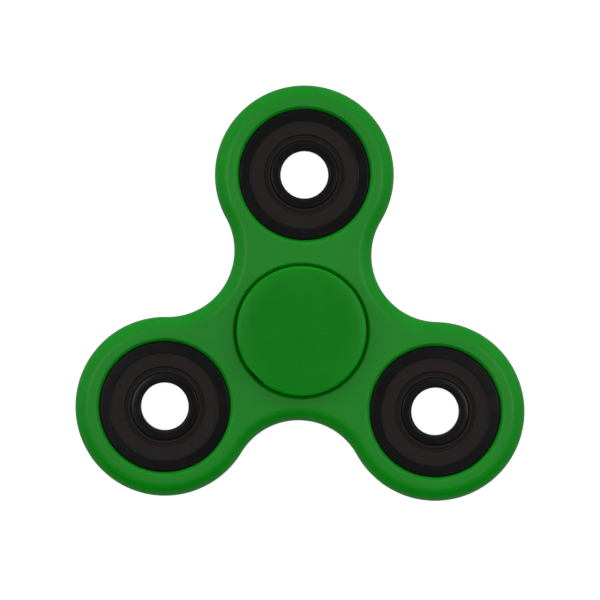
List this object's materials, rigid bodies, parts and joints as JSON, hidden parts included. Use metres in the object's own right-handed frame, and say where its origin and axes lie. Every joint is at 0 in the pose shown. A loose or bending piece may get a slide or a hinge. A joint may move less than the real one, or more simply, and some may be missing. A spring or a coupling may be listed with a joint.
{
  "type": "fidget spinner",
  "caption": "Palm-sized hand spinner: a lobed plastic frame with sealed ball bearings, which turns between two round finger caps.",
  "frame": {"origin": "on the spin axis, at the flat centre of the lower cap's resting face", "axes": "+Z along the spin axis towards the upper cap, +Y towards arm 1"},
  "size_m": [0.0754, 0.0693, 0.0124],
  "materials": {
    "frame_plastic": "satin moulded, fine grain",
    "cap_plastic": "satin moulded",
    "race_steel": "black oxide, satin",
    "ball_steel": "polished",
    "cage_steel": "pressed",
    "seal_rubber": "matte",
    "insert_steel": "cold rolled"
  },
  "bodies": {
    "finger_hub": {"cap_upper": "cap_plastic", "cap_lower": "cap_plastic", "hub_inner_race": "race_steel"},
    "spinner": {"frame": "frame_plastic", "hub_outer_race": "race_steel", "hub_seal_upper": "seal_rubber", "hub_seal_lower": "seal_rubber", "hub_seal_insert_upper": "insert_steel", "hub_seal_insert_lower": "insert_steel", "arm_1_outer_race": "race_steel", "arm_1_seal_upper": "seal_rubber", "arm_1_seal_lower": "seal_rubber", "arm_1_seal_insert_upper": "insert_steel", "arm_1_seal_insert_lower": "insert_steel", "arm_2_outer_race": "race_steel", "arm_2_seal_upper": "seal_rubber", "arm_2_seal_lower": "seal_rubber", "arm_2_seal_insert_upper": "insert_steel", "arm_2_seal_insert_lower": "insert_steel", "arm_3_outer_race": "race_steel", "arm_3_seal_upper": "seal_rubber", "arm_3_seal_lower": "seal_rubber", "arm_3_seal_insert_upper": "insert_steel", "arm_3_seal_insert_lower": "insert_steel"},
    "hub_cage": {"hub_balls": "ball_steel", "hub_cage_upper": "cage_steel", "hub_cage_lower": "cage_steel", "hub_cage_rivets": "cage_steel"},
    "arm_1_race": {"arm_1_inner_race": "race_steel"},
    "arm_1_cage": {"arm_1_balls": "ball_steel", "arm_1_cage_upper": "cage_steel", "arm_1_cage_lower": "cage_steel", "arm_1_cage_rivets": "cage_steel"},
    "arm_2_race": {"arm_2_inner_race": "race_steel"},
    "arm_2_cage": {"arm_2_balls": "ball_steel", "arm_2_cage_upper": "cage_steel", "arm_2_cage_lower": "cage_steel", "arm_2_cage_rivets": "cage_steel"},
    "arm_3_race": {"arm_3_inner_race": "race_steel"},
    "arm_3_cage": {"arm_3_balls": "ball_steel", "arm_3_cage_upper": "cage_steel", "arm_3_cage_lower": "cage_steel", "arm_3_cage_rivets": "cage_steel"}
  },
  "joints": [
    {"name": "frame_spin", "type": "hinge", "parent": "finger_hub", "child": "spinner", "pos_m": [0, 0, 0.0062], "axis": [0, 0, 1], "continuous": true},
    {"name": "hub_cage_roll", "type": "hinge", "parent": "finger_hub", "child": "hub_cage", "pos_m": [0, 0, 0.0062], "axis": [0, 0, 1], "continuous": true},
    {"name": "arm_1_race_spin", "type": "hinge", "parent": "spinner", "child": "arm_1_race", "pos_m": [0, 0.0262, 0.0062], "axis": [0, 0, 1], "continuous": true},
    {"name": "arm_1_cage_roll", "type": "hinge", "parent": "spinner", "child": "arm_1_cage", "pos_m": [0, 0.0262, 0.0062], "axis": [0, 0, 1], "continuous": true},
    {"name": "arm_2_race_spin", "type": "hinge", "parent": "spinner", "child": "arm_2_race", "pos_m": [-0.02269, -0.0131, 0.0062], "axis": [0, 0, 1], "continuous": true},
    {"name": "arm_2_cage_roll", "type": "hinge", "parent": "spinner", "child": "arm_2_cage", "pos_m": [-0.02269, -0.0131, 0.0062], "axis": [0, 0, 1], "continuous": true},
    {"name": "arm_3_race_spin", "type": "hinge", "parent": "spinner", "child": "arm_3_race", "pos_m": [0.02269, -0.0131, 0.0062], "axis": [0, 0, 1], "continuous": true},
    {"name": "arm_3_cage_roll", "type": "hinge", "parent": "spinner", "child": "arm_3_cage", "pos_m": [0.02269, -0.0131, 0.0062], "axis": [0, 0, 1], "continuous": true}
  ],
  "couplings": [
    {"joint": "hub_cage_roll", "follows": "frame_spin", "ratio": 0.6323},
    {"joint": "arm_1_cage_roll", "follows": "arm_1_race_spin", "ratio": 0.3677},
    {"joint": "arm_2_cage_roll", "follows": "arm_2_race_spin", "ratio": 0.3677},
    {"joint": "arm_3_cage_roll", "follows": "arm_3_race_spin", "ratio": 0.3677}
  ]
}
